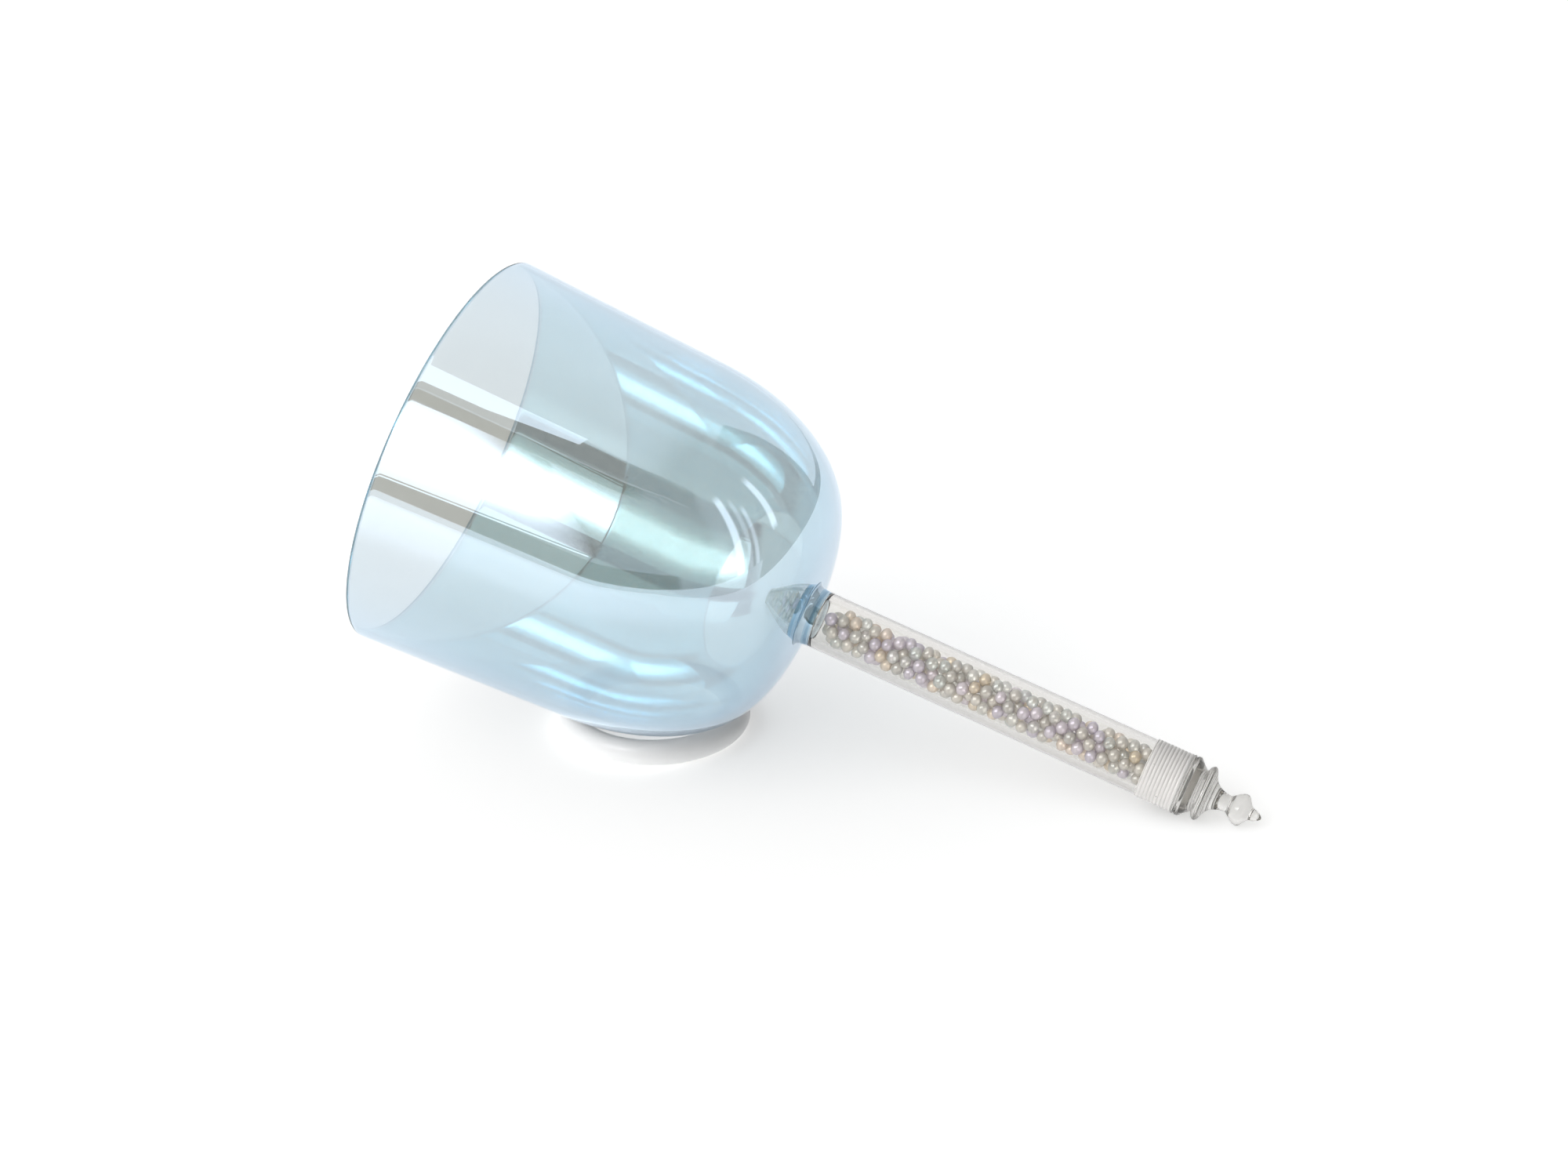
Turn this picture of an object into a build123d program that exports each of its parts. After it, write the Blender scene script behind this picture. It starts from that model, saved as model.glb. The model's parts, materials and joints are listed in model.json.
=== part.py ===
from build123d import *
import math
import os
import random

# Hand-held glass singing bell with a bead-filled tubular handle, lying tilted
# on a soft rest ring: mouth up and away, finial touching the table.
# Millimetres, +Z up, table at Z = 0. The bell's axis lies in the XZ plane,
# the handle points to +X and slopes down. Every axial station below is
# measured from the bell's root along that axis: a bell station toward the
# mouth, a handle station toward the finial.

# ------------------------------------------------------------ driving sizes
tilt_deg = 17.1            # axis above the table
root_x = 1.281             # bell root (crown and handle seam), on the axis
root_z = 55.26

# bell
mouth_r = 76.2             # a nominal six inch mouth
crown_r = 71.6             # radius the crown would close to
crown_s = 4.75             # station of the crown's flat top
crown_len = 67.2           # axial length of the curved crown
wall_len = 82.9            # axial length of the straight flared wall
crown_shape = 1.729        # fullness of the crown along the axis
crown_square = 3.441       # squareness of the crown's shoulder
bell_wall = 2.6
lip_round = 1.25           # fire-polished lip

# neck and handle tube
tube_r = 10.7
bore_r = 7.7
tube_start = 0.3           # handle station where the clear tube starts
tube_end = 144.4
neck_flare_r = 12.6        # the neck's foot on the crown
neck_gap = 0.02
button_r = 6.0             # fused glass button inside the crown
button_h = 3.6

# beads
bead_d = 4.4
bead_d_spread = 0.3
bead_gap = 0.04
bead_first = 1.3           # handle station of the first glass in the column
bead_last = 131.4          # and of the last, at the plug

# stopper
sleeve_start = 130.5
sleeve_end = 144.5
sleeve_r = 11.15
sleeve_bore = tube_r + 0.05
rib_pitch = 1.25
rib_h = 0.22
plug_r = bore_r - 0.05
plug_start = 131.6
head_start = 144.6
head_r = 11.35

# rest ring
ring_r = 31.3              # centre circle of the cord
ring_cord = 4.75           # radius of the cord
ring_flat = 0.15           # how far the cord is flattened on the table
ring_x = -64.97

# ------------------------------------------------------------ shared frame
t = math.radians(tilt_deg)
to_mouth = Vector(-math.cos(t), 0, math.sin(t))
outward = Vector(math.sin(t), 0, math.cos(t))
root = Vector(root_x, 0, root_z)
# Local x is the radius and local y the bell station.
profile = Plane(origin=root, x_dir=outward, z_dir=(0, -1, 0))
spin = Axis(root, to_mouth)


def station(s):
    """Centre point on the axis at handle station s."""
    return root - to_mouth * s


os.makedirs("parts", exist_ok=True)

# ------------------------------------------------------------ bell shell
# One blown wall: flat-topped crown, rounded shoulder, straight flared wall
# and a rounded lip. The inside is the same line offset by the wall.
turns = [i / 22 * math.pi / 2 for i in range(23)]
outer = [
    (
        crown_r * math.sin(q) ** (2 / crown_square),
        crown_s + crown_len * (1 - math.cos(q) ** (2 / crown_shape)),
    )
    for q in turns
]
# The crown's own line is only used up to where it meets the flared wall.
wall_top = (mouth_r, crown_s + crown_len + wall_len)
slope = (mouth_r - crown_r) / wall_len
outer = [p for p in outer if p[1] < crown_s + 0.93 * crown_len]
# Points nearer the axis than this are the flat top.
outer = [p for p in outer if p[0] == 0 or p[0] > 20.0]
wall_start = (crown_r, crown_s + crown_len)


def offset_points(points, d):
    """The points moved d to the right of the travel direction."""
    moved = []
    for i, (r, s) in enumerate(points):
        a = points[max(i - 1, 0)]
        b = points[min(i + 1, len(points) - 1)]
        dr, ds = b[0] - a[0], b[1] - a[1]
        n = math.hypot(dr, ds)
        moved.append((r - ds / n * d, s + dr / n * d))
    return moved


inner = offset_points(outer, bell_wall)
inner[0] = (0, crown_s + bell_wall)
wall_n = math.hypot(slope, 1)
in_start = (wall_start[0] - bell_wall / wall_n, wall_start[1] + bell_wall * slope / wall_n)
lip_out = (wall_top[0] - slope * lip_round, wall_top[1] - lip_round)
lip_in = (lip_out[0] - bell_wall / wall_n, lip_out[1] + bell_wall * slope / wall_n)
lip_top = ((lip_out[0] + lip_in[0]) / 2 + slope * lip_round, wall_top[1])

with BuildPart() as bell_shell:
    with BuildSketch(profile) as section:
        with BuildLine():
            Spline(*outer, wall_start, tangents=[(1, 0), (slope, 1)])
            Line(wall_start, lip_out)
            ThreePointArc(lip_out, lip_top, lip_in)
            Line(lip_in, in_start)
            Spline(in_start, *reversed(inner), tangents=[(-slope, -1), (-1, 0)])
            Line(inner[0], outer[0])
        make_face()
    revolve(axis=spin)
bell_shell.part.label = "bell_shell"
export_step(bell_shell.part, "parts/bell_shell.step")

# ------------------------------------------------------------ crown button
# The glass button fused under the crown where the handle joins.
button_s = crown_s + bell_wall + neck_gap
with BuildPart() as crown_button:
    with BuildSketch(Plane(origin=root + to_mouth * button_s, x_dir=outward, z_dir=to_mouth)):
        Circle(button_r)
    extrude(amount=button_h)
    fillet(crown_button.edges().group_by(Axis((0, 0, 0), to_mouth))[-1], radius=1.6)
crown_button.part.label = "crown_button"
export_step(crown_button.part, "parts/crown_button.step")

# ------------------------------------------------------------ neck collar
# Short flared root between the crown and the tube, following the crown on
# its upper face and closing the tube's bore.
neck_top = crown_s - neck_gap
with BuildPart() as neck_collar:
    with BuildSketch(profile):
        with BuildLine():
            Line((0, neck_top), (neck_flare_r, neck_top))
            # concave flare from the foot down to the tube's own radius
            ThreePointArc(
                (neck_flare_r, neck_top),
                (tube_r + 0.55, neck_top - 1.5),
                (tube_r, -tube_start + neck_gap),
            )
            Line((tube_r, -tube_start + neck_gap), (0, -tube_start + neck_gap))
            Line((0, -tube_start + neck_gap), (0, neck_top))
        make_face()
    revolve(axis=spin)
neck_collar.part.label = "neck_collar"
export_step(neck_collar.part, "parts/neck_collar.step")

# ------------------------------------------------------------ handle tube
# Thick-walled clear tube, open at the stopper end, both ends polished.
tube_len = tube_end - tube_start
tube_plane = Plane(origin=station(tube_start), x_dir=outward, z_dir=-to_mouth)
with BuildPart() as handle_tube:
    with BuildSketch(tube_plane):
        Circle(tube_r)
        Circle(bore_r, mode=Mode.SUBTRACT)
    extrude(amount=tube_len)
    chamfer(
        handle_tube.edges().filter_by(GeomType.CIRCLE).filter_by(lambda e: abs(e.radius - tube_r) < 0.01),
        length=0.25,
    )
handle_tube.part.label = "handle_tube"
export_step(handle_tube.part, "parts/handle_tube.step")

# ------------------------------------------------------------ beads
# Loose glass beads poured into the bore from the bell end. Each one drops
# toward the plug until it touches the wall or the beads below it, which
# keeps every pair bead_gap apart.
pour = random.Random(4)
beads = []
room = bore_r - 0.06
while True:
    r = (bead_d + pour.uniform(-bead_d_spread, bead_d_spread)) / 2
    best = None
    for _ in range(1100):
        reach = room - r
        rho = reach if pour.random() < 0.8 else reach * math.sqrt(pour.random())
        ang = pour.uniform(0, 2 * math.pi)
        x, y = rho * math.cos(ang), rho * math.sin(ang)
        s = bead_last - r
        for bx, by, bs, br in beads[-48:]:
            d2 = (x - bx) ** 2 + (y - by) ** 2
            reach2 = (r + br + bead_gap) ** 2
            if d2 < reach2:
                s = min(s, bs - math.sqrt(reach2 - d2))
        if best is None or s > best[2]:
            best = (x, y, s, r)
    if best[2] - r < bead_first:
        break
    beads.append(best)

shades = {"beads_smoky": [], "beads_lilac": [], "beads_clear": [], "beads_amber": []}
for bead in beads:
    pick = pour.random()
    if pick < 0.42:
        shades["beads_smoky"].append(bead)
    elif pick < 0.66:
        shades["beads_lilac"].append(bead)
    elif pick < 0.86:
        shades["beads_clear"].append(bead)
    else:
        shades["beads_amber"].append(bead)

for shade, group in shades.items():
    with BuildPart() as bead_group:
        for x, y, s, r in group:
            at = station(s) + outward * x + Vector(0, y, 0)
            with Locations(at):
                Sphere(r)
    bead_group.part.label = shade
    export_step(bead_group.part, f"parts/{shade}.step")

# ------------------------------------------------------------ stopper sleeve
# Soft ribbed sleeve gripping the tube's end.
ribs = int((sleeve_end - sleeve_start - 0.8) / rib_pitch)
with BuildPart() as stopper_sleeve:
    with BuildSketch(profile):
        with BuildLine():
            Polyline(
                (sleeve_bore, -sleeve_start),
                (sleeve_r - 0.25, -sleeve_start),
                (sleeve_r, -sleeve_start - 0.25),
            )
            at = sleeve_start + 0.25
            pitch = (sleeve_end - 0.25 - at) / ribs
            for _ in range(ribs):
                # a shallow groove, then the crest of the rib
                ThreePointArc(
                    (sleeve_r, -at),
                    (sleeve_r - rib_h, -at - pitch * 0.25),
                    (sleeve_r, -at - pitch * 0.5),
                )
                Line((sleeve_r, -at - pitch * 0.5), (sleeve_r, -at - pitch))
                at += pitch
            Polyline(
                (sleeve_r, -at),
                (sleeve_r - 0.25, -sleeve_end),
                (sleeve_bore, -sleeve_end),
                (sleeve_bore, -sleeve_start),
            )
        make_face()
    revolve(axis=spin)
stopper_sleeve.part.label = "stopper_sleeve"
export_step(stopper_sleeve.part, "parts/stopper_sleeve.step")

# ------------------------------------------------------------ stopper finial
# One turned glass piece: plug in the bore, grooved head, flared disc,
# tapering neck, ridged ball and rounded tip.
with BuildPart() as stopper_finial:
    with BuildSketch(profile):
        with BuildLine():
            Polyline(
                (0, -plug_start),
                (plug_r - 0.4, -plug_start),
                (plug_r, -plug_start - 0.4),
                (plug_r, -head_start),
                (head_r - 0.35, -head_start),
                (head_r, -head_start - 0.35),
                (head_r, -145.3),
            )
            ThreePointArc((head_r, -145.3), (head_r - 0.45, -145.75), (head_r, -146.2))
            Polyline((head_r, -146.2), (head_r, -147.35), (8.05, -150.85))
            # root of the groove, then the disc's rolled edge
            ThreePointArc((8.05, -150.85), (8.0, -151.1), (8.3, -151.3))
            Spline(
                (8.3, -151.3),
                (9.7, -152.0),
                (10.3, -152.75),
                (10.35, -153.4),
                (9.95, -154.15),
                tangents=[(0.75, -0.65), (-0.6, -0.8)],
            )
            Spline(
                (9.95, -154.15),
                (6.25, -155.85),
                (4.75, -157.2),
                (3.75, -159.2),
                (3.2, -161.4),
                (3.4, -162.95),
                tangents=[(-0.9, -0.44), (0.5, -0.87)],
            )
            # the ball, flatter than round, with a soft ridge
            Spline(
                (3.4, -162.95),
                (4.55, -164.35),
                (5.5, -165.75),
                (6.02, -167.1),
                (5.95, -168.35),
                (5.25, -169.0),
                tangents=[(0.5, -0.87), (-0.85, -0.53)],
            )
            Spline(
                (5.25, -169.0),
                (4.2, -169.75),
                (2.95, -170.6),
                (2.3, -171.4),
                tangents=[(-0.85, -0.53), (-0.45, -0.9)],
            )
            Spline(
                (2.3, -171.4),
                (2.1, -172.3),
                (1.65, -173.5),
                (0.8, -174.7),
                (0, -175.2),
                tangents=[(-0.1, -1), (-1, 0)],
            )
            Line((0, -175.2), (0, -plug_start))
        make_face()
    revolve(axis=spin)
stopper_finial.part.label = "stopper_finial"
export_step(stopper_finial.part, "parts/stopper_finial.step")

# ------------------------------------------------------------ rest ring
# Soft round cord bent into a ring, slightly flattened where it stands.
cord_z = ring_cord - ring_flat
with BuildPart() as rest_ring:
    with BuildSketch(Plane(origin=(ring_x, 0, 0), x_dir=(1, 0, 0), z_dir=(0, -1, 0))):
        with Locations((ring_r, cord_z)):
            Circle(ring_cord)
        with Locations((ring_r, -ring_cord)):
            Rectangle(4 * ring_cord, 2 * ring_cord, mode=Mode.SUBTRACT)
    revolve(axis=Axis((ring_x, 0, 0), (0, 0, 1)))
rest_ring.part.label = "rest_ring"
export_step(rest_ring.part, "parts/rest_ring.step")
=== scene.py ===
import json
import math
import random

import bpy
import bmesh
from mathutils import Matrix, Vector

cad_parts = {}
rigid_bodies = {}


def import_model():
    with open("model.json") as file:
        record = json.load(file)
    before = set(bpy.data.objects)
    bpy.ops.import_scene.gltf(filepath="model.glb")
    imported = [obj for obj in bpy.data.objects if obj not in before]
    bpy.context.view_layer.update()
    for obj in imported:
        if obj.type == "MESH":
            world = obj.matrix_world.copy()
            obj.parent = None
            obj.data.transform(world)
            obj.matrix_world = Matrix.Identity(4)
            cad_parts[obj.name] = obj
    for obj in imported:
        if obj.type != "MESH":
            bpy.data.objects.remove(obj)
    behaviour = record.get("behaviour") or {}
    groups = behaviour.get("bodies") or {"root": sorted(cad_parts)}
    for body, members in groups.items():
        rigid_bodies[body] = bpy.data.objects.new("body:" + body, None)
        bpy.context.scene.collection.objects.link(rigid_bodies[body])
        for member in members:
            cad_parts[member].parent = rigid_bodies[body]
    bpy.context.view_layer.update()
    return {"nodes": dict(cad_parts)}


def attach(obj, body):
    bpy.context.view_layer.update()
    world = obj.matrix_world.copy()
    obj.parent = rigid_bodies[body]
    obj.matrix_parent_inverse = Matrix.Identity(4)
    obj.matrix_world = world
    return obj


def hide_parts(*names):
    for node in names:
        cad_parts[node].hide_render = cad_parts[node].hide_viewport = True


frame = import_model()
nodes = frame["nodes"]

# ---------------------------------------------------------------- the frame's sizes, metres
MM = 0.001
tilt = math.radians(17.1)
root = Vector((1.281, 0, 55.26)) * MM
to_mouth = Vector((-math.cos(tilt), 0, math.sin(tilt)))
outward = Vector((math.sin(tilt), 0, math.cos(tilt)))
sideways = to_mouth.cross(outward)

mouth_r, crown_r = 76.2, 71.6
crown_s, crown_len, wall_len = 4.75, 67.2, 82.9
crown_shape, crown_square = 1.729, 3.441
bell_wall, lip_round = 2.6, 1.25
tube_r, bore_r, tube_start, tube_end = 10.7, 7.7, 0.3, 144.4
sleeve_start, sleeve_end, sleeve_r = 130.5, 144.5, 11.15
ring_r, ring_cord, ring_flat, ring_x = 31.3, 4.75, 0.15, -64.97


# ---------------------------------------------------------------- small helpers
def new_object(name, mesh):
    ob = bpy.data.objects.new(name, mesh)
    bpy.context.scene.collection.objects.link(ob)
    return ob


def on_axis(r, s, ang):
    """Point at radius r and bell station s (mm), turned ang about the bell's axis."""
    return root + to_mouth * (s * MM) + (outward * math.cos(ang) + sideways * math.sin(ang)) * (r * MM)


def lathe(name, profile, steps, place, closed=True, mats=None, smooth=True):
    """A turned solid. profile is a list of (r, s) going round the section; points with r = 0 become a pole.
    mats gives each profile segment's material index."""
    bm = bmesh.new()
    rings = []
    for r, s in profile:
        if r < 1e-6:
            rings.append([bm.verts.new(place(0, s, 0))])
        else:
            rings.append([bm.verts.new(place(r, s, 2 * math.pi * i / steps)) for i in range(steps)])
    n = len(profile)
    for k in range(n if closed else n - 1):
        a, b = rings[k], rings[(k + 1) % n]
        m = mats[k] if mats else 0
        if len(a) == 1 and len(b) == 1:
            continue
        for i in range(steps):
            j = (i + 1) % steps
            if len(a) == 1:
                f = bm.faces.new((a[0], b[i], b[j]))
            elif len(b) == 1:
                f = bm.faces.new((a[i], b[0], a[j]))
            else:
                f = bm.faces.new((a[i], b[i], b[j], a[j]))
            f.material_index = m
            f.smooth = smooth
    bmesh.ops.recalc_face_normals(bm, faces=bm.faces)
    if bm.calc_volume(signed=True) < 0:
        bmesh.ops.reverse_faces(bm, faces=bm.faces)
    mesh = bpy.data.meshes.new(name)
    bm.to_mesh(mesh)
    bm.free()
    return new_object(name, mesh)


def arc(c, rad, a0, a1, n):
    """Points on an arc about c = (r, s), angles in degrees."""
    return [
        (c[0] + rad * math.cos(math.radians(a0 + (a1 - a0) * i / n)), c[1] + rad * math.sin(math.radians(a0 + (a1 - a0) * i / n)))
        for i in range(n + 1)
    ]


def spline(points, n=6):
    """Catmull-Rom through the points, n steps a span."""
    out = []
    for i in range(len(points) - 1):
        p0 = points[max(i - 1, 0)]
        p1, p2 = points[i], points[i + 1]
        p3 = points[min(i + 2, len(points) - 1)]
        for k in range(n):
            u = k / n
            out.append(
                tuple(
                    0.5
                    * (
                        2 * p1[d]
                        + (p2[d] - p0[d]) * u
                        + (2 * p0[d] - 5 * p1[d] + 4 * p2[d] - p3[d]) * u * u
                        + (3 * p1[d] - p0[d] - 3 * p2[d] + p3[d]) * u**3
                    )
                    for d in (0, 1)
                )
            )
    out.append(points[-1])
    return out


def sharpen(ob, deg):
    """Mark edges sharper than deg so that smooth shading keeps the corner."""
    bm = bmesh.new()
    bm.from_mesh(ob.data)
    lim = math.radians(deg)
    for e in bm.edges:
        if len(e.link_faces) == 2 and e.calc_face_angle(0) > lim:
            e.smooth = False
    bm.to_mesh(ob.data)
    bm.free()


# ---------------------------------------------------------------- node helpers
class Tree:
    def __init__(self, owner, out="ShaderNodeOutputMaterial"):
        owner.use_nodes = True
        self.t = owner.node_tree
        self.t.nodes.clear()
        self.out = self.t.nodes.new(out)

    def add(self, kind, **inputs):
        n = self.t.nodes.new(kind)
        for k, v in inputs.items():
            if k.startswith("_"):
                setattr(n, k[1:], v)
            else:
                self.set(n, k.replace("__", " "), v)
        return n

    def set(self, n, key, v):
        sock = n.inputs[int(key[1:])] if key[0] == "i" and key[1:].isdigit() else n.inputs[key]
        if isinstance(v, bpy.types.NodeSocket):
            self.t.links.new(v, sock)
        else:
            sock.default_value = v

    def math(self, op, a, b=None, clamp=False):
        n = self.t.nodes.new("ShaderNodeMath")
        n.operation = op
        n.use_clamp = clamp
        self.set(n, "i0", a)
        if b is not None:
            self.set(n, "i1", b)
        return n.outputs[0]

    def between(self, v, low, high, soft):
        """1 where low < v < high, fading over soft on each side."""
        a = self.step(v, low, soft)
        b = self.step(v, high, soft)
        return self.math("MULTIPLY", a, self.math("SUBTRACT", 1.0, b))

    def step(self, v, at, soft):
        n = self.t.nodes.new("ShaderNodeMapRange")
        n.interpolation_type = "SMOOTHSTEP"
        self.set(n, "Value", v)
        if isinstance(at, bpy.types.NodeSocket):
            self.set(n, "From Min", self.math("SUBTRACT", at, soft))
            self.set(n, "From Max", self.math("ADD", at, soft))
        else:
            n.inputs["From Min"].default_value = at - soft
            n.inputs["From Max"].default_value = at + soft
        return n.outputs[0]

    def blend(self, mask, a, b):
        """Numbers: a where mask is 0, b where it is 1."""
        n = self.t.nodes.new("ShaderNodeMix")
        self.set(n, "i0", mask)
        self.set(n, "i2", a)
        self.set(n, "i3", b)
        return n.outputs[0]

    def mix(self, fac, a, b):
        """A colour mix."""
        n = self.t.nodes.new("ShaderNodeMix")
        n.data_type = "RGBA"
        self.set(n, "i0", fac)
        self.set(n, "i6", a)
        self.set(n, "i7", b)
        return n.outputs[2]

    def shade(self, fac, a, b):
        n = self.t.nodes.new("ShaderNodeMixShader")
        self.set(n, "i0", fac)
        self.t.links.new(a, n.inputs[1])
        self.t.links.new(b, n.inputs[2])
        return n.outputs[0]

    def ramp(self, fac, stops, interp="LINEAR"):
        n = self.t.nodes.new("ShaderNodeValToRGB")
        n.color_ramp.interpolation = interp
        el = n.color_ramp.elements
        while len(el) > 1:
            el.remove(el[-1])
        el[0].position, el[0].color = stops[0][0], stops[0][1]
        for p, c in stops[1:]:
            e = el.new(p)
            e.color = c
        self.t.links.new(fac, n.inputs[0])
        return n.outputs[0]

    def noise(self, scale, detail=2.0, rough=0.5, coords="Object", dist=0.0):
        tc = self.t.nodes.new("ShaderNodeTexCoord")
        n = self.t.nodes.new("ShaderNodeTexNoise")
        self.t.links.new(tc.outputs[coords], n.inputs["Vector"])
        n.inputs["Scale"].default_value = scale
        n.inputs["Detail"].default_value = detail
        n.inputs["Roughness"].default_value = rough
        n.inputs["Distortion"].default_value = dist
        return n.outputs[0]

    def surface(self, s):
        self.t.links.new(s, self.out.inputs["Surface"])


def material(name):
    m = bpy.data.materials.new(name)
    return m, Tree(m)


def grey(v, a=1.0):
    return (v, v, v, a)


def lets_light_through(t, surface, tint):
    """Light on its way to the floor passes with a tint, so that glass throws a pale shadow."""
    lp = t.add("ShaderNodeLightPath")
    tr = t.add("ShaderNodeBsdfTransparent", Color=tint)
    return t.shade(t.math("MAXIMUM", lp.outputs["Is Shadow Ray"], lp.outputs["Is Diffuse Ray"]), surface, tr.outputs[0])


# ---------------------------------------------------------------- materials
def coated_glass(name, deep=0.0):
    """Clear glass under a thin vapour-deposited metal film: pale blue in reflection, warm grey in transmission, bluer seen from inside."""
    m, t = material(name)
    film = t.noise(26.0, 3.0, 0.55)
    cloud = t.noise(9.0, 2.0, 0.5)
    front = t.mix(film, (0.50, 0.62, 0.74, 1), (0.56, 0.68, 0.82, 1))
    back = t.mix(cloud, (0.50, 0.77, 0.90, 1), (0.58, 0.85, 1.0, 1))
    through = t.mix(cloud, (0.93, 0.93, 0.86, 1), (0.86, 0.87, 0.80, 1))
    geo = t.add("ShaderNodeNewGeometry")
    tint = t.mix(geo.outputs["Backfacing"], front, back)
    lw = t.add("ShaderNodeLayerWeight", Blend=0.5)
    edge = t.math("POWER", lw.outputs["Facing"], 4.0)
    through = t.mix(t.math("POWER", lw.outputs["Facing"], 1.6), through, (0.80, 0.92, 1.0, 1))
    tint = t.mix(edge, tint, (0.92, 0.96, 1.0, 1))
    fac = t.math("MULTIPLY_ADD", edge, 0.42)
    fac.node.inputs[2].default_value = 0.56
    if deep:
        through = t.mix(deep, through, (0.25, 0.55, 0.80, 1))
        tint = t.mix(deep, tint, (0.10, 0.32, 0.52, 1))
    glass = t.add("ShaderNodeBsdfGlass", Color=through, Roughness=0.0, IOR=1.46)
    mirror = t.add("ShaderNodeBsdfGlossy", Color=tint, Roughness=0.012)
    t.surface(lets_light_through(t, t.shade(fac, glass.outputs[0], mirror.outputs[0]), (0.66, 0.69, 0.71, 1)))
    return m


def plain_glass(name, tint=(0.985, 0.99, 0.985, 1), shadow=(0.9, 0.9, 0.89, 1), edge=None):
    """Clear glass; edge is the tint it takes where it is seen at a grazing angle, painted shade that darkens the glass
    along its outlines.
    """
    m, t = material(name)
    slight = t.noise(14.0, 2.0, 0.5)
    colour = t.mix(slight, tint, tuple(c * 0.97 for c in tint[:3]) + (1,))
    # painted shade: the edge tint darkens the glass where it is seen at a grazing angle
    if edge:
        lw = t.add("ShaderNodeLayerWeight", Blend=0.5)
        colour = t.mix(t.math("POWER", lw.outputs["Facing"], 2.2), colour, edge)
    glass = t.add("ShaderNodeBsdfGlass", Color=colour, Roughness=0.0, IOR=1.46)
    t.surface(lets_light_through(t, glass.outputs[0], shadow))
    return m


def bead_glass(name, dark, light, glint_a, glint_b, clear=0.5):
    """Lustred glass bead: pale tinted body, thin pearly film that changes from bead to bead, and painted shade that
    darkens the body towards each bead's rim.
    """
    m, t = material(name)
    geo = t.add("ShaderNodeNewGeometry")
    own = geo.outputs["Random Per Island"]
    swirl = t.noise(420.0, 3.0, 0.6)
    tone = t.math("MULTIPLY_ADD", swirl, 0.35)
    t.t.links.new(t.math("MULTIPLY", own, 0.75), tone.node.inputs[2])
    body = t.mix(tone, dark, light)
    # painted shade: the body colour darkens towards the rim, where the bead is seen at a grazing angle
    rim = t.add("ShaderNodeLayerWeight", Blend=0.5)
    body = t.mix(t.math("POWER", rim.outputs["Facing"], 1.6), body, tuple(c * 0.42 for c in dark[:3]) + (1,))
    glint = t.mix(own, glint_a, glint_b)
    bsdf = t.add("ShaderNodeBsdfPrincipled", Roughness=0.04, IOR=1.45)
    t.set(bsdf, "Base Color", body)
    bsdf.inputs["Transmission Weight"].default_value = clear
    bsdf.inputs["Coat Weight"].default_value = 0.5
    bsdf.inputs["Coat Roughness"].default_value = 0.03
    mirror = t.add("ShaderNodeBsdfGlossy", Color=glint, Roughness=0.28)
    lw = t.add("ShaderNodeLayerWeight", Blend=0.35)
    fac = t.math("MULTIPLY_ADD", lw.outputs["Facing"], 0.30)
    fac.node.inputs[2].default_value = 0.16
    t.surface(lets_light_through(t, t.shade(fac, bsdf.outputs[0], mirror.outputs[0]), (0.78, 0.76, 0.74, 1)))
    return m


def frosted(name):
    """Translucent ribbed sleeve."""
    m, t = material(name)
    n = t.noise(160.0, 3.0, 0.6)
    colour = t.mix(n, (0.90, 0.88, 0.86, 1), (0.98, 0.97, 0.96, 1))
    bsdf = t.add("ShaderNodeBsdfPrincipled", IOR=1.45)
    t.set(bsdf, "Base Color", colour)
    t.set(bsdf, "Roughness", t.math("MULTIPLY_ADD", n, 0.2))
    bsdf.inputs["Roughness"].links[0].from_node.inputs[2].default_value = 0.22
    bsdf.inputs["Transmission Weight"].default_value = 0.5
    t.surface(lets_light_through(t, bsdf.outputs[0], (0.7, 0.69, 0.67, 1)))
    return m


def soft_ring(name):
    m, t = material(name)
    n = t.noise(60.0, 3.0, 0.6)
    fine = t.noise(900.0, 2.0, 0.6)
    colour = t.mix(n, (0.95, 0.96, 0.95, 1), (0.99, 0.99, 0.98, 1))
    bsdf = t.add("ShaderNodeBsdfPrincipled", IOR=1.42)
    t.set(bsdf, "Base Color", colour)
    rough = t.math("MULTIPLY_ADD", fine, 0.14)
    rough.node.inputs[2].default_value = 0.24
    t.set(bsdf, "Roughness", rough)
    bsdf.inputs["Transmission Weight"].default_value = 0.12
    bsdf.inputs["Subsurface Weight"].default_value = 1.0
    bsdf.inputs["Subsurface Radius"].default_value = (1.0, 1.0, 1.0)
    bsdf.inputs["Subsurface Scale"].default_value = 0.004
    t.surface(bsdf.outputs[0])
    return m


M_COAT = coated_glass("coated_glass")
M_COLLAR = coated_glass("collar_coated_glass", 0.35)
M_INNER = plain_glass("bell_inner_face", tint=(0.99, 0.995, 0.99, 1), shadow=(0.99, 0.99, 0.99, 1))
M_LIP = plain_glass("bell_lip", tint=(0.74, 0.80, 0.84, 1), shadow=(0.9, 0.92, 0.94, 1))
# the edge tints of the tube and the finial are painted shade along their outlines
M_TUBE = plain_glass("tube_glass", tint=(0.925, 0.918, 0.905, 1), shadow=(0.88, 0.88, 0.87, 1), edge=(0.74, 0.74, 0.76, 1))
M_BORE = plain_glass("tube_bore_face", tint=(0.995, 0.995, 0.99, 1), shadow=(0.97, 0.97, 0.97, 1))
M_FINIAL = plain_glass("finial_glass", tint=(0.93, 0.925, 0.915, 1), shadow=(0.80, 0.80, 0.79, 1), edge=(0.64, 0.635, 0.63, 1))
M_SLEEVE = frosted("sleeve_silicone")
M_RING = soft_ring("ring_silicone")
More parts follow.
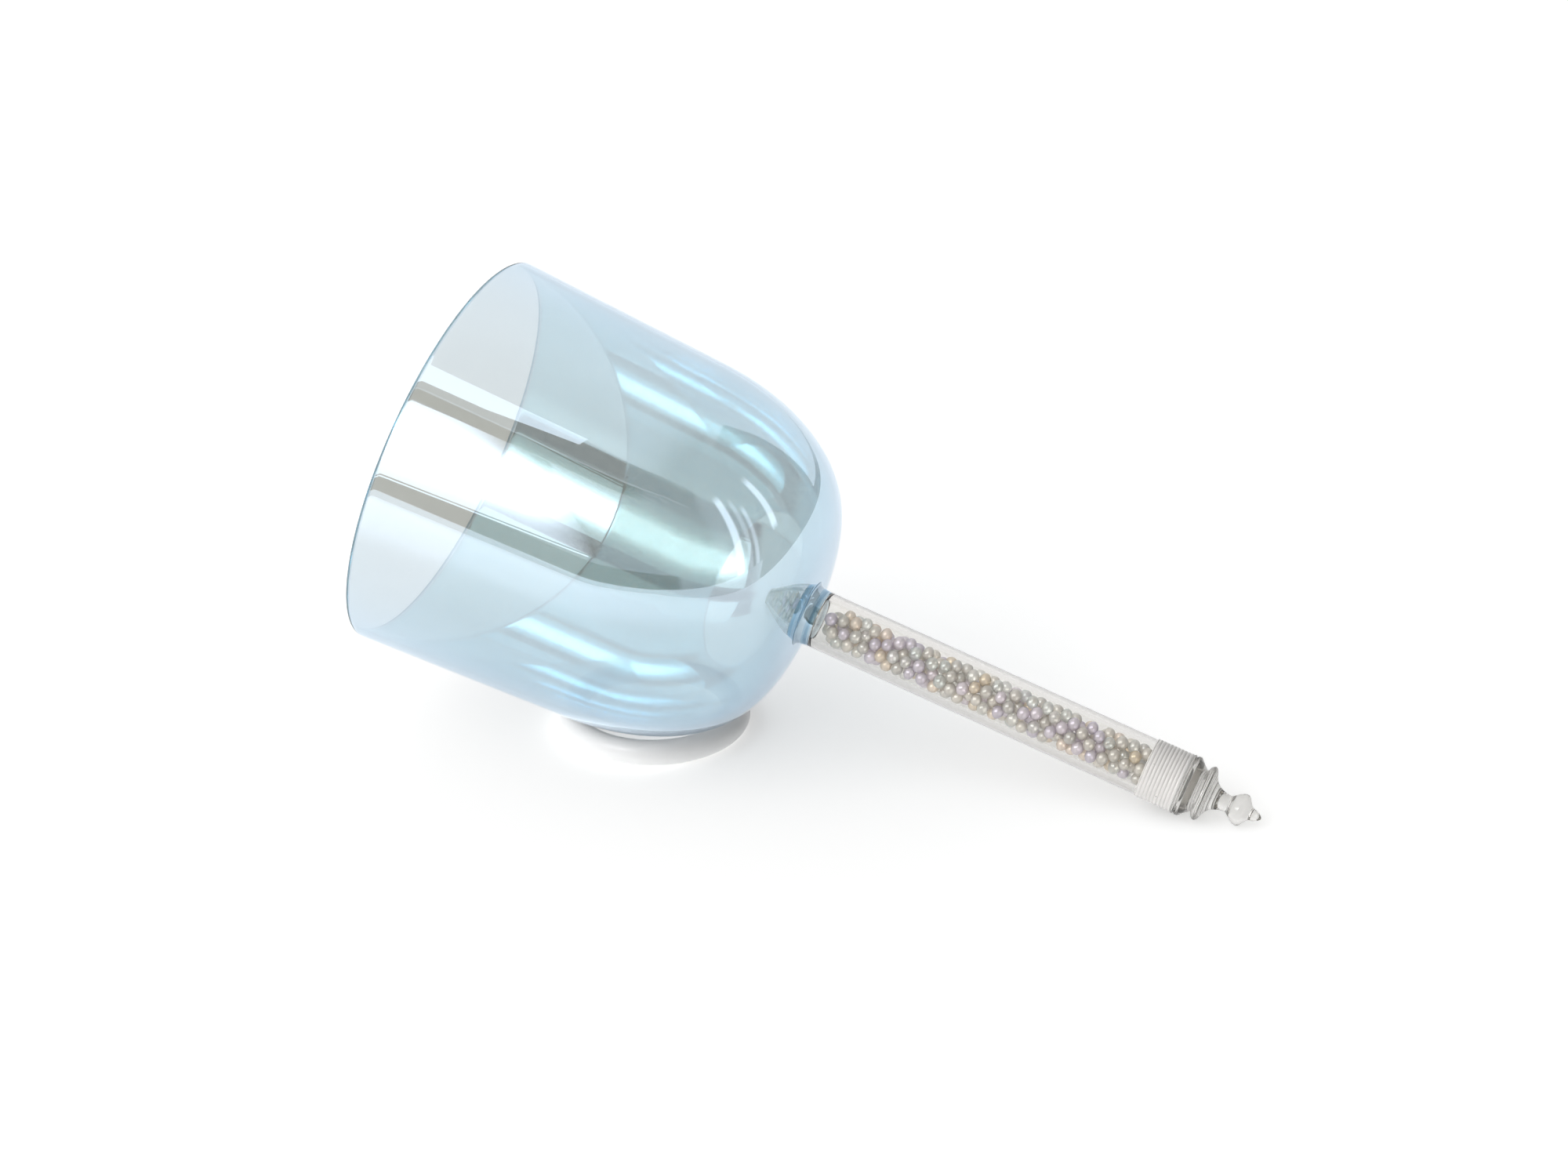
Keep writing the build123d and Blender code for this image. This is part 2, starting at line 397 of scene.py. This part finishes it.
M_BEADS = {
    "beads_smoky": bead_glass("bead_smoky", (0.54, 0.50, 0.45, 1), (0.78, 0.75, 0.70, 1), (0.86, 0.92, 0.96, 1), (1.0, 0.94, 0.84, 1)),
    "beads_lilac": bead_glass("bead_lilac", (0.62, 0.58, 0.60, 1), (0.82, 0.78, 0.81, 1), (0.74, 0.70, 1.0, 1), (0.98, 0.86, 1.0, 1)),
    "beads_clear": bead_glass("bead_clear", (0.82, 0.81, 0.78, 1), (0.95, 0.95, 0.93, 1), (0.85, 0.97, 0.98, 1), (1.0, 0.97, 0.92, 1), 0.8),
    "beads_amber": bead_glass("bead_amber", (0.66, 0.59, 0.50, 1), (0.86, 0.80, 0.71, 1), (1.0, 0.84, 0.56, 1), (1.0, 0.78, 0.72, 1)),
}

# ---------------------------------------------------------------- bell shell
crown = [
    (crown_r * math.sin(q) ** (2 / crown_square), crown_s + crown_len * (1 - math.cos(q) ** (2 / crown_shape)))
    for q in [(i / 90) ** 1.5 * math.pi / 2 for i in range(91)]
]
slope = (mouth_r - crown_r) / wall_len
wall_start = (crown_r, crown_s + crown_len)
wall_top = (mouth_r - 0.012, crown_s + crown_len + wall_len - 0.08)
wall_n = math.hypot(slope, 1)


def raw_radius(s):
    """The crown curve, cut off by the straight taper of the wall."""
    line = crown_r + slope * (s - wall_start[1])
    if s >= wall_start[1]:
        return line
    lo, hi = 0.0, math.pi / 2
    for _ in range(50):
        q = (lo + hi) / 2
        if crown_s + crown_len * (1 - max(math.cos(q), 0) ** (2 / crown_shape)) < s:
            lo = q
        else:
            hi = q
    r = crown_r * math.sin(lo) ** (2 / crown_square)
    return min(r, line) if s > 55 else r


def eased_radius(s):
    """raw_radius averaged over a few millimetres where crown and wall meet, so that the curve has no corner."""
    w = min(max((s - 45) / 15, 0), 1) * min(max((125 - s) / 15, 0), 1)
    if w == 0:
        return raw_radius(s)
    tot = acc = 0
    for k in range(-12, 13):
        g = math.exp(-0.5 * (k / 5) ** 2)
        acc += g * raw_radius(s + k)
        tot += g
    return raw_radius(s) * (1 - w) + acc / tot * w


outer = [p for p in crown if p[1] < 30]
lip_out = (wall_top[0] - slope * lip_round, wall_top[1] - lip_round)
at = outer[-1][1] + 1.2
while at < lip_out[1] - 0.8:
    outer.append((eased_radius(at), at))
    at += 1.5
outer.append(lip_out)


def inside_of(points, d):
    moved = []
    for i, (r, s) in enumerate(points):
        a = points[max(i - 1, 0)]
        b = points[min(i + 1, len(points) - 1)]
        dr, ds = b[0] - a[0], b[1] - a[1]
        n = math.hypot(dr, ds)
        moved.append((r - ds / n * d, s + dr / n * d))
    return moved


inner = inside_of(outer, bell_wall)
inner[0] = (0, crown_s + bell_wall)
inner = [inner[0]] + [p for p in inner[1:] if p[0] > 0.5]
lip_in = inner[-1]
lip_c = ((lip_out[0] + lip_in[0]) / 2, (lip_out[1] + lip_in[1]) / 2)
lip = []
for k in range(1, 12):
    a = math.pi * k / 12
    u = math.cos(a)
    lip.append(
        (
            lip_c[0] + (lip_out[0] - lip_c[0]) * u + slope * lip_round * math.sin(a),
            lip_c[1] + (lip_out[1] - lip_c[1]) * u + lip_round * math.sin(a) * 0.999,
        )
    )
section = outer + lip + inner[::-1]
mats = [0] * (len(outer) - 1) + [2] * (len(lip) + 1) + [1] * (len(inner) + 1)
shell = lathe("bell_shell_glass", section, 288, on_axis, closed=False, mats=mats)
shell.data.materials.append(M_COAT)
shell.data.materials.append(M_INNER)
shell.data.materials.append(M_LIP)
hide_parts("bell_shell")
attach(shell, "bell")

# ---------------------------------------------------------------- crown button
b0 = crown_s + bell_wall + 0.02
button = lathe(
    "crown_button_glass",
    [(0, b0), (2, b0), (4, b0), (5.9, b0), (6.0, b0 + 0.1), (6.0, b0 + 1.0), (6.0, b0 + 2.0)]
    + arc((4.4, b0 + 2.0), 1.6, 5, 90, 10)
    + [(3.0, b0 + 3.6), (1.5, b0 + 3.6), (0, b0 + 3.6)],
    96,
    on_axis,
    closed=False,
)
sharpen(button, 40)
button.data.materials.append(M_INNER)
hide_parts("crown_button")
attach(button, "bell")

# ---------------------------------------------------------------- neck collar
top = crown_s - 0.02
low = -tube_start + 0.02
flare = spline([(12.6, top), (11.75, top - 0.55), (tube_r + 0.55, top - 1.5), (tube_r + 0.16, top - 2.9), (tube_r, low)], 7)
collar = lathe(
    "neck_collar_glass",
    [(0, top), (4, top), (8, top), (11.5, top)] + flare + [(8, low), (4, low), (0, low)],
    144,
    on_axis,
    closed=False,
)
sharpen(collar, 40)
collar.data.materials.append(M_COLLAR)
collar.data.materials.append(M_INNER)
collar.data.materials.append(M_COAT)
for f in collar.data.polygons:
    along = (f.center / MM - root / MM).dot(to_mouth)
    away = (f.center / MM - root / MM - to_mouth * along).length
    if away < tube_r - 0.3:
        f.material_index = 1
    elif along > 2.6 or along < 0.4:
        f.material_index = 2
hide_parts("neck_collar")
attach(collar, "bell")

# ---------------------------------------------------------------- handle tube
steps_along = 30
tube_line = [(bore_r, -tube_start - 0.15), (bore_r + 0.15, -tube_start), (9.2, -tube_start), (tube_r - 0.25, -tube_start), (tube_r, -tube_start - 0.25)]
tube_line += [(tube_r, -tube_start - 0.25 - (tube_end - tube_start - 0.5) * k / steps_along) for k in range(1, steps_along + 1)]
tube_line += [(tube_r - 0.25, -tube_end), (9.2, -tube_end), (bore_r + 0.15, -tube_end), (bore_r, -tube_end + 0.15)]
tube_line += [(bore_r, -tube_end + 0.15 + (tube_end - tube_start - 0.3) * k / steps_along) for k in range(1, steps_along)]
tube = lathe("handle_tube_glass", tube_line, 144, on_axis)
sharpen(tube, 30)
tube.data.materials.append(M_TUBE)
tube.data.materials.append(M_BORE)
for f in tube.data.polygons:
    along = (f.center / MM - root / MM).dot(to_mouth)
    if (f.center / MM - root / MM - to_mouth * along).length < bore_r + 0.2:
        f.material_index = 1
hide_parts("handle_tube")
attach(tube, "bell")


# ---------------------------------------------------------------- beads: one smooth ball for each ball of the frame
def islands(mesh):
    """Centre and radius of each separate ball of a node."""
    parent = list(range(len(mesh.vertices)))

    def find(i):
        while parent[i] != i:
            parent[i] = parent[parent[i]]
            i = parent[i]
        return i

    # vertices in the same place are one point
    seen = {}
    for v in mesh.vertices:
        key = tuple(round(c * 1e6) for c in v.co)
        if key in seen:
            parent[find(v.index)] = find(seen[key])
        else:
            seen[key] = v.index
    for e in mesh.edges:
        parent[find(e.vertices[0])] = find(e.vertices[1])
    groups = {}
    for v in mesh.vertices:
        groups.setdefault(find(v.index), []).append(v.co)
    balls = []
    for g in groups.values():
        lo = Vector((min(c.x for c in g), min(c.y for c in g), min(c.z for c in g)))
        hi = Vector((max(c.x for c in g), max(c.y for c in g), max(c.z for c in g)))
        balls.append(((lo + hi) / 2, max(hi - lo) / 2))
    balls.sort(key=lambda b: (round(b[0].x, 5), round(b[0].y, 5)))
    return balls


for shade, mat in M_BEADS.items():
    bm = bmesh.new()
    turn = random.Random(shade)
    for c, r in islands(nodes[shade].data):
        spin = Matrix.Rotation(turn.uniform(0, 6.28), 4, Vector((turn.uniform(-1, 1), turn.uniform(-1, 1), turn.uniform(-1, 1))).normalized())
        bmesh.ops.create_icosphere(bm, subdivisions=4, radius=r, matrix=Matrix.Translation(c) @ spin)
    for f in bm.faces:
        f.smooth = True
    mesh = bpy.data.meshes.new(shade + "_glass")
    bm.to_mesh(mesh)
    bm.free()
    ob = new_object(shade + "_glass", mesh)
    mesh.materials.append(mat)
    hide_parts(shade)
    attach(ob, "bell")

# ---------------------------------------------------------------- stopper sleeve
ribs = int((sleeve_end - sleeve_start - 0.8) / 1.25)
line = [(tube_r + 0.05, -sleeve_start), (sleeve_r - 0.25, -sleeve_start), (sleeve_r - 0.08, -sleeve_start - 0.08), (sleeve_r, -sleeve_start - 0.25)]
at = sleeve_start + 0.25
pitch = (sleeve_end - 0.25 - at) / ribs
for k in range(ribs):
    for i in range(1, 9):
        u = i / 8
        line.append((sleeve_r - 0.22 * math.sin(math.pi * u), -at - pitch * 0.5 * u))
    line.append((sleeve_r, -at - pitch * 0.75))
    line.append((sleeve_r, -at - pitch))
    at += pitch
line += [(sleeve_r - 0.08, -sleeve_end + 0.08), (sleeve_r - 0.25, -sleeve_end), (tube_r + 0.05, -sleeve_end)]
line += [(tube_r + 0.05, -sleeve_end + (sleeve_end - sleeve_start) * k / 8) for k in range(1, 8)]
sleeve = lathe("stopper_sleeve_ribbed", line, 144, on_axis)
sharpen(sleeve, 50)
sleeve.data.materials.append(M_SLEEVE)
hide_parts("stopper_sleeve")
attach(sleeve, "sleeve")

# ---------------------------------------------------------------- stopper finial
plug_r = bore_r - 0.05
body = [(0, -131.6), (2.5, -131.6), (plug_r - 0.4, -131.6), (plug_r, -132.0)]
body += [(plug_r, -132.0 - 12.6 * k / 6) for k in range(1, 7)]
body += [(9.4, -144.6), (11.0, -144.6), (11.25, -144.68), (11.35, -144.95), (11.35, -145.3)]
body += [(11.35 - 0.45 * math.sin(math.pi * k / 8), -145.3 - 0.9 * k / 8) for k in range(1, 9)]
body += [(11.35, -147.15), (11.28, -147.42), (11.1, -147.62)]
body += [(11.1 + (8.2 - 11.1) * k / 4, -147.62 + (-150.7 + 147.62) * k / 4) for k in range(1, 5)]
disc = spline([(8.2, -150.7), (8.02, -151.0), (8.3, -151.3), (9.1, -151.62), (9.75, -152.05), (10.22, -152.7), (10.35, -153.35), (9.95, -154.05), (9.2, -154.5), (7.7, -155.15), (6.25, -155.85), (5.4, -156.45), (4.75, -157.2), (4.2, -158.1), (3.75, -159.2), (3.4, -160.3), (3.2, -161.4), (3.2, -162.3), (3.4, -162.95), (3.9, -163.55), (4.55, -164.35), (5.1, -165.05), (5.55, -165.85), (5.9, -166.6), (6.02, -167.2), (5.95, -168.0), (5.6, -168.6), (5.1, -169.08), (4.2, -169.7), (3.5, -170.15), (2.9, -170.62), (2.45, -171.1), (2.25, -171.6), (2.1, -172.4), (1.75, -173.3), (1.3, -174.1), (0.75, -174.75), (0.3, -175.1), (0.0, -175.18)], 4)
disc[-1] = (0, -175.18)
finial = lathe("stopper_finial_glass", body + disc[1:], 144, on_axis, closed=False)
sharpen(finial, 34)
finial.data.materials.append(M_FINIAL)
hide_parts("stopper_finial")
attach(finial, "finial")


# ---------------------------------------------------------------- rest ring
def on_ring(r, z, ang):
    return Vector((ring_x + r * math.cos(ang), r * math.sin(ang), z)) * MM


cz = ring_cord - ring_flat
half = math.degrees(math.acos(cz / ring_cord))
cord_line = arc((ring_r, cz), ring_cord, -90 + half, 270 - half, 46)
cord_line += [(ring_r - ring_cord * math.sin(math.radians(half)) * k, 0.0) for k in (0.5, 0.0, -0.5)]
ring = lathe("rest_ring_soft", cord_line, 192, on_ring)
ring.data.materials.append(M_RING)
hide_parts("rest_ring")
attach(ring, "rest")

# ---------------------------------------------------------------- floor
floor_mesh = bpy.data.meshes.new("floor")
bm = bmesh.new()
vs = [bm.verts.new((x, y, 0)) for x, y in ((-2.6, -1.55), (0.5, -1.55), (0.5, 3.2), (-2.6, 3.2))]
bm.faces.new(vs)
bm.to_mesh(floor_mesh)
bm.free()
floor = new_object("floor", floor_mesh)
m, t = material("floor_pale")
soft = t.noise(3.0, 2.0, 0.5)
b = t.add("ShaderNodeBsdfDiffuse", Color=t.mix(soft, (0.90, 0.90, 0.895, 1), (0.91, 0.91, 0.905, 1)))
glow = t.add("ShaderNodeEmission", Color=(1, 1, 1, 1), Strength=0.38)  # a translucent table lit from below
both = t.add("ShaderNodeAddShader")
t.t.links.new(b.outputs[0], both.inputs[0])
t.t.links.new(glow.outputs[0], both.inputs[1])
t.surface(both.outputs[0])
floor_mesh.materials.append(m)

# ---------------------------------------------------------------- studio light
# A white tent open to the right and the front, and a large soft light in front. Directions: turn is the angle in the YZ plane
# from straight in front (-Y) over the top, lean is the angle out of that plane towards +X, az is the compass angle from +X.
world = bpy.data.worlds.new("studio")
bpy.context.scene.world = world
t = Tree(world, "ShaderNodeOutputWorld")
tc = t.add("ShaderNodeTexCoord")
sep = t.add("ShaderNodeSeparateXYZ", Vector=tc.outputs["Generated"])
X, Y, Z = sep.outputs
deg = 180 / math.pi
turn = t.math("MULTIPLY", t.math("ARCTAN2", Z, t.math("MULTIPLY", Y, -1.0)), deg)
flat = t.math("SQRT", t.math("ADD", t.math("MULTIPLY", Y, Y), t.math("MULTIPLY", Z, Z)))
lean = t.math("MULTIPLY", t.math("ARCTAN2", X, flat), deg)
az = t.math("MULTIPLY", t.math("ARCTAN2", Y, X), deg)
el = t.math("MULTIPLY", t.math("ARCSINE", Z), deg)

# the room beyond the tent: dim, with a few upright pale folds
room = t.blend(t.between(az, -32.0, 70.0, 5.0), 0.34, 0.52)
for centre, half_width, low, high, level in (
    (-17.5, 2.6, -8.0, 44.0, 1.7),
    (-9.5, 1.6, -8.0, 40.0, 0.9),
    (-4.0, 1.5, -6.0, 34.0, 1.15),
    (13.5, 2.4, 12.0, 42.0, 1.6),
    (24.0, 3.0, 5.0, 30.0, 0.6),
):
    fold = t.math("MULTIPLY", t.between(az, centre - half_width, centre + half_width, 1.0), t.between(el, low, high, 3.0))
    room = t.blend(fold, room, level)

# the white tent: left side, top and back
top_x = t.math("SUBTRACT", t.math("MULTIPLY", Z, 0.57), t.math("MULTIPLY", Y, 0.17))
under_top = t.math("MULTIPLY", t.step(t.math("SUBTRACT", top_x, X), 0.0, 0.006), t.step(turn, 68.0, 0.8))
behind = t.math("MULTIPLY", t.step(t.math("SUBTRACT", t.math("MULTIPLY", Y, 0.65), X), 0.0, 0.006), t.step(Y, 0.0, 0.01))
left = t.step(lean, -46.0, 4.0)
tent = t.math("MAXIMUM", t.math("MAXIMUM", under_top, behind), t.math("SUBTRACT", 1.0, left))
tent_level = t.add("ShaderNodeMapRange", Value=turn)
tent_level.inputs["From Min"].default_value = 70
tent_level.inputs["From Max"].default_value = 160
tent_level.inputs["To Min"].default_value = 0.82
tent_level.inputs["To Max"].default_value = 1.02
fall = t.add("ShaderNodeMapRange", Value=lean)
fall.inputs["From Min"].default_value = -6
fall.inputs["From Max"].default_value = 22
fall.inputs["To Min"].default_value = 1.35
fall.inputs["To Max"].default_value = 0.60
fall_level = t.blend(t.step(turn, 115.0, 18.0), fall.outputs[0], 1.0)
light = t.blend(tent, room, t.math("MULTIPLY", tent_level.outputs[0], fall_level))

# seam of the tent over the front, and the narrow lamp behind it
seam = t.math("MULTIPLY", t.between(turn, 56.3, 57.2, 0.25), t.between(lean, -46.0, 34.0, 1.0))
light = t.blend(seam, light, 0.5)
dusk = t.math("MULTIPLY", t.between(turn, 57.2, 68.0, 0.3), t.between(lean, -46.0, 34.0, 1.0))
light = t.blend(dusk, light, 0.30)
gap = t.math("MULTIPLY", t.between(turn, -1.0, 8.6, 0.3), t.between(lean, -46.0, 34.0, 2.0))
light = t.blend(gap, light, 0.09)
gap = t.math("MULTIPLY", t.between(turn, 50.0, 56.3, 0.3), t.between(lean, -46.0, 12.0, 6.0))
light = t.blend(gap, light, 0.06)

# pale ground beyond the front edge of the floor
ground = t.math("MULTIPLY", t.math("SUBTRACT", 1.0, t.step(turn, -1.0, 0.4)), t.step(turn, -80.0, 4.0))
light = t.blend(ground, light, 0.9)

around = t.add("ShaderNodeBackground", Color=(1, 1, 1, 1), Strength=light)
white = t.add("ShaderNodeBackground", Color=(1, 1, 1, 1), Strength=1.0)
# what falls on the floor comes mostly from the left front
toward = t.math("ADD", t.math("MULTIPLY", t.math("ADD", X, Y), -0.62), t.math("MULTIPLY", Z, 0.48))
toward = t.math("MAXIMUM", toward, 0.0)
fill = t.add("ShaderNodeBackground", Color=(1, 1, 1, 1), Strength=t.math("MULTIPLY", t.math("MULTIPLY", toward, toward), 2.5))
lp = t.add("ShaderNodeLightPath")
seen = t.shade(lp.outputs["Is Camera Ray"], around.outputs[0], white.outputs[0])
t.surface(t.shade(lp.outputs["Is Diffuse Ray"], seen, fill.outputs[0]))

# soft lights as real panels at the left front: u along X, v up the panel, which leans back 30 degrees
lean_n = Vector((0, -math.cos(math.radians(30)), 0.5))
lean_v = Vector((0, 0.5, math.cos(math.radians(30))))


def panel(name, corners, away, strength):
    """A glowing quad. corners are (u, v) in mm, strength is a function of the tree, u and v."""
    base = Vector((0, -70, 90)) + lean_n * away
    bm = bmesh.new()
    bm.faces.new([bm.verts.new((base + Vector((u, 0, 0)) + lean_v * v) * MM) for u, v in corners])
    mesh = bpy.data.meshes.new(name)
    bm.to_mesh(mesh)
    bm.free()
    ob = new_object(name, mesh)
    m, pt = material(name + "_light")
    co = pt.add("ShaderNodeTexCoord")
    xyz = pt.add("ShaderNodeSeparateXYZ", Vector=co.outputs["Object"])
    u = pt.math("MULTIPLY", xyz.outputs["X"], 1000.0)
    rise = pt.math("MULTIPLY_ADD", xyz.outputs["Z"], 1000.0 / lean_v.z)
    rise.node.inputs[2].default_value = -base.z / lean_v.z
    em = pt.add("ShaderNodeEmission", Color=(1, 1, 1, 1), Strength=strength(pt, u, rise))
    pt.surface(em.outputs[0])
    mesh.materials.append(m)
    ob.visible_camera = False
    ob.visible_diffuse = False
    return ob


def faded(pt, u):
    """The lights die away towards their right ends."""
    return pt.step(pt.math("MULTIPLY", u, -1.0), 80.0, 26.0)


def hot(pt, u, v):
    """Hottest along the middle, 1.25 at the edges."""
    off = pt.math("MULTIPLY", pt.math("SUBTRACT", v, 40.0), 1 / 54.0)
    bell_curve = pt.math("EXPONENT", pt.math("MULTIPLY", pt.math("MULTIPLY", off, off), -1.0))
    side = pt.math("MULTIPLY", pt.math("ADD", u, 190.0), 1 / 170.0)
    fall = pt.math("EXPONENT", pt.math("MULTIPLY", pt.math("MULTIPLY", side, side), -1.0))
    out = pt.math("MULTIPLY_ADD", pt.math("MULTIPLY", bell_curve, fall), 12.0)
    out.node.inputs[2].default_value = 1.55
    return pt.math("MULTIPLY", out, faded(pt, u))


def even(pt, u, v):
    wave = pt.noise(4.0, 2.0, 0.5)
    out = pt.math("MULTIPLY_ADD", wave, 0.3)
    out.node.inputs[2].default_value = 1.35
    return out


panel("front_panel", ((-430, -86), (-66, -86), (-64, 30), (-52, 145), (-95, 153), (-430, 154)), 300.0, hot)
panel("front_edge", ((-430, -98), (-78, -95), (-78, -90), (-430, -92)), 300.0, even)
panel("top_lamp", ((-430, 232), (-72, 232), (-22, 262), (-12, 308), (-100, 318), (-120, 385), (-430, 385)), 300.0, even)

# overhead soft light for the floor, to the left and behind
lamp_data = bpy.data.lights.new("overhead", "AREA")
lamp_data.shape = "RECTANGLE"
lamp_data.size, lamp_data.size_y = 0.7, 0.55
lamp_data.energy = 10.0
overhead = bpy.data.objects.new("overhead", lamp_data)
bpy.context.scene.collection.objects.link(overhead)
overhead.location = (-0.75, -0.95, 0.95)
aim = Vector((0.1, 0.1, 0)) - overhead.location
overhead.rotation_euler = aim.to_track_quat("-Z", "Y").to_euler()
overhead.visible_camera = False
overhead.visible_glossy = False
overhead.visible_transmission = False

# two soft lamps that only touch the beads and the stopper, and give them their glints
glinting = bpy.data.collections.new("glinting")
for ob in bpy.context.scene.objects:
    if ob.name.startswith("beads_") or ob.name == "stopper_finial_glass":
        glinting.objects.link(ob)
for k, (where, size, energy) in enumerate((((-0.02, -0.72, 0.74), 0.42, 6.0), ((-0.45, -0.62, 0.42), 0.30, 3.5))):
    spark = bpy.data.lights.new("glint", "AREA")
    spark.shape = "DISK"
    spark.size = size
    spark.energy = energy
    spark.cycles.use_multiple_importance_sampling = False
    ob = bpy.data.objects.new("glint_%d" % k, spark)
    bpy.context.scene.collection.objects.link(ob)
    ob.location = where
    ob.rotation_euler = (Vector((0.10, 0, 0.03)) - ob.location).to_track_quat("-Z", "Y").to_euler()
    ob.visible_camera = False
    ob.light_linking.receiver_collection = glinting

# ---------------------------------------------------------------- camera
pos = Vector((398.41, -1087.04, 629.93)) * MM
az, ele, roll = math.radians(110.709), math.radians(-25.901), math.radians(0.436)
fwd = Vector((math.cos(ele) * math.cos(az), math.cos(ele) * math.sin(az), math.sin(ele)))
right = fwd.cross(Vector((0, 0, 1))).normalized()
up = right.cross(fwd)
right_r = right * math.cos(roll) - up * math.sin(roll)
up_r = right * math.sin(roll) + up * math.cos(roll)
cam_data = bpy.data.cameras.new("camera")
cam_data.sensor_width = 36.0
cam_data.lens = 4510.26 * 36.0 / 2000
cam_data.clip_start = 0.01
cam_data.clip_end = 50
cam = bpy.data.objects.new("camera", cam_data)
bpy.context.scene.collection.objects.link(cam)
rot = Matrix((right_r, up_r, -fwd)).transposed()
cam.matrix_world = Matrix.Translation(pos) @ rot.to_4x4()
bpy.context.scene.camera = cam

scene = bpy.context.scene
scene.view_settings.view_transform = "Standard"
scene.view_settings.look = "None"
scene.cycles.max_bounces = 32
scene.cycles.transmission_bounces = 28
scene.cycles.glossy_bounces = 12
scene.cycles.transparent_max_bounces = 32
scene.cycles.diffuse_bounces = 4
scene.cycles.caustics_refractive = False
scene.cycles.caustics_reflective = False
scene.cycles.sample_clamp_indirect = 6.0

bpy.context.view_layer.update()
